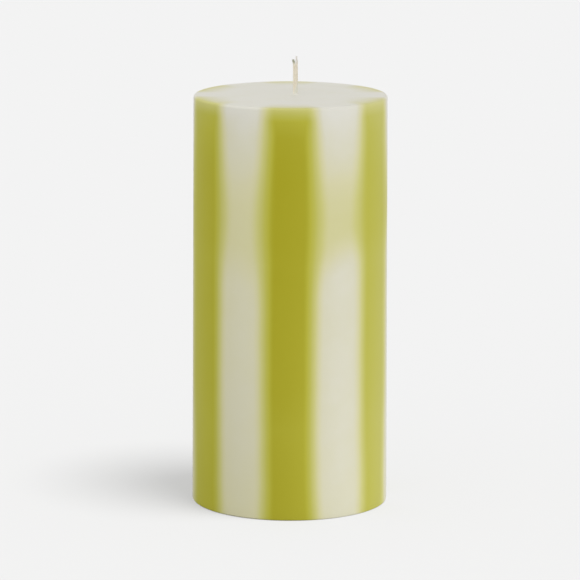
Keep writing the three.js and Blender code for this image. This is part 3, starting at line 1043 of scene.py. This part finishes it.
@dataclass(frozen=True)
class BraidedWick:
    """A waxed cotton braid of twelve strands, forked and frayed where it was cut."""

    path: WickPath
    material: bpy.types.Material
    width: float = 1.8
    thickness: float = 1.4
    strands: int = 12
    lay: float = 5.5  # length of one turn of a strand
    strand_width: float = 0.52
    strand_thickness: float = 0.34
    strand_taper: float = 0.22  # share of them that is gone at its end
    strand_sides: int = 8
    strand_step: float = 0.3
    weave: float = 0.09  # how far a strand rises and dips as it crosses others, as a share of its radius
    core_thickness: float = 0.8  # as a share of the core's width
    core_sides: int = 12
    core_step: float = 1.2
    fork: float = 3.1  # length of the two prongs
    fork_ease: Point = (-0.6, 1.0)  # where from its start the strands begin to part, and have parted
    fork_flat: float = 0.45  # how much of the braid's thickness is gone there
    fork_side: float = 0.15  # cosine of a strand's turn below which it goes into the left prong
    prong_place: float = 0.5  # how far off the wick's middle a prong stands
    prong_width: float = 0.56  # between the strands at its edges
    left_prong: Point = (-0.45, 1.2)  # how far its end bends aside, and how far below the tip it is cut
    right_prong: Point = (0.06, 0.0)
    uneven: float = 0.5  # how much shorter than its prong a strand may be
    sway: float = 0.08  # how far aside its end may stand
    fibres: int = 70
    fibre_radius: float = 0.022
    fibre_taper: float = 0.5  # share of it that is left at the end
    fibre_length: Point = (0.4, 0.75)
    fibre_root: float = 0.7  # how far below a prong's end a fibre leaves it
    fibre_bend: float = 0.7  # share of the prong's bend that it stands aside there
    fibre_spread: float = 0.3  # how far from a prong's middle
    fibre_lean: float = 0.3
    fibre_curl: float = 0.3  # how far it bends on the way it leans
    fibre_droop: float = 0.2  # and down
    fibre_over: float = 0.4  # how far above the tip it may end
    fibre_points: int = 5
    fibre_sides: int = 4
    seed: int = 5

    def side(self, strand: int) -> Side:
        """Which way a strand turns."""
        return Side.COUNTER if strand < self.strands // 2 else Side.CLOCKWISE

    def turn(self, strand: int, height: Any) -> Any:
        """How far round the wick a strand is at a height, or at each of several, in radians."""
        half = self.strands // 2
        start = (strand % half) * 2 * math.pi / half
        return self.side(strand).value * 2 * math.pi * height / self.lay + start

    def goes_left(self, strand: int) -> bool:
        """Whether a strand ends in the left prong, which the strands on that side at the fork do."""
        return math.cos(self.turn(strand, self.path.tip - self.fork)) < self.fork_side

    def prong(self, left: bool) -> tuple[float, float, float]:
        """Where a prong stands, how far it bends aside and how far below the tip it is cut."""
        return (-self.prong_place, *self.left_prong) if left else (self.prong_place, *self.right_prong)

    def centre(self, strand: int, height: np.ndarray, sway: float) -> np.ndarray:
        """The middle line of one strand.

        Args:
            strand: Its number.
            height: Heights along it.
            sway: A small sideways shift of its end.

        Returns:
            One point for each height.
        """
        turn = self.turn(strand, height)
        lift = 1 + self.side(strand).value * self.weave * np.cos(self.strands // 2 * turn)
        across = (self.width - self.strand_thickness) / 2 * np.cos(turn) * lift
        through = (self.thickness - self.strand_thickness) / 2 * np.sin(turn) * lift
        middle = np.array([self.path.middle(float(z)) for z in height])
        split = self.path.tip - self.fork
        free = smoothstep(height, split + self.fork_ease[0], split + self.fork_ease[1])
        place, bend, cut = self.prong(self.goes_left(strand))
        home = place + self.prong_width / 2 * np.cos(turn)
        bent = bend * np.clip((height - split) / (self.fork - cut), 0, 1) ** 2
        across = across * (1 - free) + (home + bent + sway) * free
        through = through * (1 - self.fork_flat * free)
        return np.column_stack([middle + across, through, height])

    def tube(self, line: np.ndarray, width: Any, thickness: Any, sides: int) -> tuple[np.ndarray, list[Face]]:
        """Skins an oval tube along a line.

        Args:
            line: Points along its middle.
            width: Its width at each point, measured round the wick.
            thickness: Its thickness at each point, measured out from the wick.
            sides: Points round its section.

        Returns:
            Points and faces.
        """
        ahead = np.gradient(line, axis=0)
        ahead /= np.linalg.norm(ahead, axis=1)[:, None]
        middle = np.array([self.path.middle(float(z)) for z in line[:, 2]])
        out = np.column_stack([line[:, 0] - middle + NUDGE, line[:, 1], np.zeros(len(line))])
        out -= ahead * np.sum(out * ahead, axis=1)[:, None]
        out /= np.linalg.norm(out, axis=1)[:, None]
        beside = np.cross(ahead, out)
        turns = np.arange(sides) * 2 * math.pi / sides
        rings = [
            line[i]
            + np.outer(np.cos(turns) * width[i] / 2, beside[i])
            + np.outer(np.sin(turns) * thickness[i] / 2, out[i])
            for i in range(len(line))
        ]
        return skin(rings, Ends.CAPPED)

    def strand(self, number: int, rng: np.random.Generator) -> tuple[np.ndarray, list[Face]]:
        """One strand, from the wick's foot to its cut end."""
        tip = self.path.tip
        cut = self.prong(self.goes_left(number))[-1]
        end = tip - cut - rng.uniform(0.0, self.uneven)
        sway = rng.uniform(-self.sway, self.sway)
        heights = np.arange(self.path.foot, end, self.strand_step)
        taper = 1 - self.strand_taper * smoothstep(heights, tip - self.fork, end)
        line = self.centre(number, heights, sway)
        return self.tube(line, self.strand_width * taper, self.strand_thickness * taper, self.strand_sides)

    def core(self) -> tuple[np.ndarray, list[Face]]:
        """The yarns that the strands are braided round, as far as the fork."""
        heights = np.arange(self.path.foot, self.path.tip - self.fork, self.core_step)
        line = np.column_stack([[self.path.middle(float(z)) for z in heights], 0 * heights, heights])
        width = np.full(len(line), self.width - self.strand_thickness)
        return self.tube(line, width * self.core_thickness, width, self.core_sides)

    def fibre(self, rng: np.random.Generator) -> tuple[np.ndarray, list[Face]]:
        """One loose fibre at the cut end, of the left prong as often as of the right."""
        place, bend, cut = self.prong(rng.random() < 0.5)
        end = self.path.tip - cut
        x = self.path.middle(end) + bend * self.fibre_bend + place
        spread, lean = self.fibre_spread, self.fibre_lean
        x += rng.uniform(-spread, spread)
        start = np.array([x, rng.uniform(-spread, spread), end - self.fibre_root])
        away = np.array([rng.normal(0, lean), rng.normal(0, lean), 1.0])
        length = rng.uniform(*self.fibre_length)
        curl = np.array([away[0], away[1], -self.fibre_droop]) * self.fibre_curl
        steps = np.linspace(0, 1, self.fibre_points)[:, None]
        line = start + away * length * steps + curl * steps**2
        line[:, 2] = np.minimum(line[:, 2], self.path.tip + self.fibre_over)
        size = self.fibre_radius * 2 * np.linspace(1, self.fibre_taper, len(line))
        return self.tube(line, size, size, self.fibre_sides)

    def build(self) -> bpy.types.Object:
        """Makes the wick and seats it."""
        rng = np.random.default_rng(self.seed)
        parts = [self.strand(number, rng) for number in range(self.strands)]
        parts.append(self.core())
        parts += [self.fibre(rng) for _ in range(self.fibres)]
        piece = make_piece("braided_wick", parts, self.material)
        seat(piece, "wick")
        return piece


@dataclass(frozen=True)
class PressedSustainer:
    """The steel tab under the wick, drawn up into a neck that is crimped on to the braid."""

    material: bpy.types.Material
    setback: float = 0.5
    sheet: float = 0.4
    neck_radius: float = 1.4
    neck_height: float = 7.0
    crimp_height: float = 4.0
    crimp_lead: float = 1.5
    crimp_squeeze: float = 0.857  # thickness of the crimped neck as a share of its width
    bend: float = 1.0
    bead_radius: float = 7.0
    bead_ease: float = 0.6
    bead_height: float = 0.4
    edge_over: float = 0.1  # how far the shears have drawn in the tab's upper edge
    edge_under: float = 0.02  # and its lower one
    turn_steps: int = 96
    neck_steps: int = 14
    bend_steps: int = 8
    tab_steps: int = 48

    def bead(self, radius: float) -> float:
        """How far the bead lifts the tab at a radius."""
        fall = smoothstep(abs(radius - self.bead_radius), 0, 2 * self.bead_ease)
        return self.bead_height * (1 - float(fall))

    def line(self) -> np.ndarray:
        """The sheet's middle line from the top of the neck out to the edge, as radii and heights."""
        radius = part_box("wick_sustainer")[1].x / MM
        neck, bend, tab = self.neck_radius, self.bend, self.setback + self.sheet / 2
        climb = np.linspace(self.setback + self.neck_height, tab + bend, self.neck_steps + 1)
        turns = np.linspace(0, math.pi / 2, self.bend_steps + 1)[1:]
        flat = np.linspace(neck + bend, radius, self.tab_steps + 1)[1:]
        points = [(neck, float(z)) for z in climb]
        points += [(neck + bend * (1 - math.cos(t)), tab + bend * (1 - math.sin(t))) for t in turns]
        points += [(float(r), tab + self.bead(float(r))) for r in flat]
        return np.array(points)

    def section(self) -> np.ndarray:
        """The closed section of the sheet, with the edge of the tab a little drawn in."""
        line = self.line()
        ahead = np.gradient(line, axis=0)
        ahead /= np.linalg.norm(ahead, axis=1)[:, None]
        half = np.column_stack([-ahead[:, 1], ahead[:, 0]]) * self.sheet / 2
        over, under = line + half, line - half
        over[-1] -= ahead[-1] * self.edge_over
        under[-1] -= ahead[-1] * self.edge_under
        return np.concatenate([over, under[::-1]])

    def build(self) -> bpy.types.Object:
        """Makes the sustainer and seats it."""
        crimp_start = self.setback + self.neck_height - self.crimp_height
        turns = np.arange(self.turn_steps) * 2 * math.pi / self.turn_steps
        rings = []
        for radius, height in self.section():
            squeeze = float(smoothstep(height, crimp_start - self.crimp_lead, crimp_start))
            through = radius * (1 - (1 - self.crimp_squeeze) * squeeze)
            heights = np.full(len(turns), height)
            rings.append(np.column_stack([radius * np.cos(turns), through * np.sin(turns), heights]))
        piece = make_piece("pressed_sustainer", [skin(rings, Ends.JOINED)], self.material)
        seat(piece, "wick_sustainer")
        return piece


@dataclass(frozen=True)
class Studio:
    """A pale sweep in soft, even light from all sides, with a key high on the right for the shadow alone."""

    backdrop: str = "f2f2f2"
    floor_reach: float = 40.0  # metres
    floor_albedo: float = 0.17  # of the part of the floor's light that the eye sees shaded
    floor_glow: float = 0.454
    # Metres towards +X: share of the light that the floor sends back, a painted shadow near the candle's left
    # foot and painted light on its right
    painted_bounce: tuple[Point, ...] = (
        (-0.30, 0.11),
        (-0.12, 0.05),
        (-0.05, 0.00),
        (-0.02, 0.06),
        (0.00, 0.17),
        (0.03, 0.34),
        (0.05, 0.39),
        (0.12, 0.33),
        (0.30, 0.29),
    )
    key_turn: float = math.radians(-34)  # from +X
    key_rise: float = math.radians(72.8)
    key_spread: float = math.radians(23.0)
    key_strength: float = 5.45
    sky_strength: float = 1.88
    sky_fall: float = 0.74  # how much less of it comes from straight above than from the horizon
    sky_front: float = 0.20  # how much more of it comes from the camera's side
    sky_left: float = 0.11  # and from -X
    lens: float = 237.38
    sensor: float = 36.0
    sight: float = 200.0  # metres
    camera_place: tuple[float, float, float] = (0.0, -1.4, 0.3532)
    camera_pitch: float = math.radians(11.066)
    camera_roll: float = math.radians(0.168)

    def board(self) -> bpy.types.Material:
        """Builds the floor's finish, a matt white board that keeps the candle's shadow and sends back light
        with a painted shadow on the left and painted light on the right.
        """
        material = blank_material("matt_white_board")
        tree = material.node_tree
        lit = add_node(tree, "ShaderNodeBsdfDiffuse", {"Color": (*[self.floor_albedo] * 3, 1.0)})
        glow = add_node(tree, "ShaderNodeEmission", {"Strength": self.floor_glow})
        shown = add_node(tree, "ShaderNodeAddShader", (lit, glow))
        here = add_node(tree, "ShaderNodeTexCoord").outputs["Object"]
        aside = add_node(tree, SPLIT_PLACE, (here,)).outputs["X"]
        # Painted shadow and painted light in what the floor sends back to the candle
        reach = self.painted_bounce[-1][0]
        across = add_node(tree, MAP_RANGE, {"Value": aside, "From Min": -reach, "From Max": reach})
        level = add_node(tree, RAMP, (across,))
        stops = [((x + reach) / (2 * reach), (share, share, share, 1.0)) for x, share in self.painted_bounce]
        set_stops(level.color_ramp, stops)
        painted_bounce = add_node(tree, "ShaderNodeBsdfDiffuse", {"Color": level})
        surface = add_node(tree, "ShaderNodeMixShader", (self.seen(tree), painted_bounce, shown))
        add_node(tree, "ShaderNodeOutputMaterial", {"Surface": surface})
        return material

    def floor(self) -> bpy.types.Object:
        """Makes the floor."""
        mesh = bpy.data.meshes.new("floor")
        far = self.floor_reach
        corners = [(-far, -far, 0), (far, -far, 0), (far, far, 0), (-far, far, 0)]
        mesh.from_pydata(corners, [], [(0, 1, 2, 3)])
        mesh.materials.append(self.board())
        floor = bpy.data.objects.new("floor", mesh)
        bpy.context.scene.collection.objects.link(floor)
        return floor

    def seen(self, tree: Tree) -> Node:
        """Adds what tells rays from the eye, mirrors and glass from the rays that carry light."""
        ray = add_node(tree, "ShaderNodeLightPath").outputs
        mirrored = add_node(tree, MATH, (ray["Is Camera Ray"], ray["Is Glossy Ray"]), operation="MAXIMUM")
        return add_node(tree, MATH, (mirrored, ray["Is Transmission Ray"]), operation="MAXIMUM")

    def sky(self) -> None:
        """Makes the surroundings: the backdrop to the eye, and soft light that comes mostly from the side."""
        world = bpy.data.worlds.new("soft_surroundings")
        world.use_nodes = True
        bpy.context.scene.world = world
        tree = world.node_tree
        tree.nodes.clear()
        full, front, left = self.sky_strength, self.sky_front, self.sky_left
        way = add_node(tree, "ShaderNodeTexCoord").outputs["Generated"]
        split = add_node(tree, SPLIT_PLACE, (way,)).outputs
        squared = add_node(tree, MATH, (split["Z"], split["Z"]), operation="MULTIPLY")
        faded = add_node(tree, MATH, (squared, -self.sky_fall, 1.0), operation="MULTIPLY_ADD")
        by_front = add_node(tree, MATH, (split["Y"], -front * full, full), operation="MULTIPLY_ADD")
        by_side = add_node(tree, MATH, (split["X"], -left * full, by_front), operation="MULTIPLY_ADD")
        strength = add_node(tree, MATH, (faded, by_side), operation="MULTIPLY")
        light = add_node(tree, "ShaderNodeBackground", {"Strength": strength})
        shown = add_node(tree, "ShaderNodeBackground", {"Color": linear(self.backdrop)})
        surface = add_node(tree, "ShaderNodeMixShader", (self.seen(tree), light, shown))
        add_node(tree, "ShaderNodeOutputWorld", {"Surface": surface})

    def key(self, floor: bpy.types.Object) -> None:
        """Adds the key, a lamp as even as the sun that lights the floor alone."""
        light = bpy.data.lights.new("key", "SUN")
        light.angle = self.key_spread
        light.energy = self.key_strength
        lamp = bpy.data.objects.new("key", light)
        turn, rise = self.key_turn, self.key_rise
        towards = Vector((math.cos(turn) * math.cos(rise), math.sin(turn) * math.cos(rise), math.sin(rise)))
        lamp.rotation_mode = "QUATERNION"
        lamp.rotation_quaternion = towards.to_track_quat("Z", "Y")
        bpy.context.scene.collection.objects.link(lamp)
        lit = bpy.data.collections.new("lit_by_key")
        lit.objects.link(floor)
        lamp.light_linking.receiver_collection = lit

    def camera(self) -> None:
        """Sets up the camera at the photograph's place."""
        data = bpy.data.cameras.new("camera")
        data.lens = self.lens
        data.sensor_width = self.sensor
        data.clip_end = self.sight
        camera = bpy.data.objects.new("camera", data)
        camera.location = self.camera_place
        level = Matrix.Rotation(math.pi / 2 - self.camera_pitch, 4, "X")
        camera.rotation_euler = (level @ Matrix.Rotation(self.camera_roll, 4, "Z")).to_euler()
        bpy.context.scene.collection.objects.link(camera)
        bpy.context.scene.camera = camera

    def build(self) -> None:
        """Sets up floor, surroundings, lamp and camera."""
        floor = self.floor()
        self.sky()
        self.key(floor)
        self.camera()
        bpy.context.scene.view_settings.view_transform = "Standard"


def main() -> None:
    """Builds the candle and its studio in order."""
    logging.basicConfig(level=logging.INFO, format="%(message)s")
    Studio().build()
    form = CandleForm.from_frame()
    path = WickPath.from_frame(form)
    dye = DyeField(form).group()
    white_wax = PillarWax("poured_paraffin_wax", dye, 0.44, 0.54).material()
    green_wax = PillarWax("dyed_paraffin_wax", dye, 0.42, 0.50).material()
    cotton = WaxedCotton().material(path)
    steel = TinnedSteel().material()
    PouredBody(form, path, white_wax).build()
    DyedStripes(form, green_wax).build()
    BraidedWick(path, cotton).build()
    PressedSustainer(steel).build()


if __name__ == "__main__":
    main()
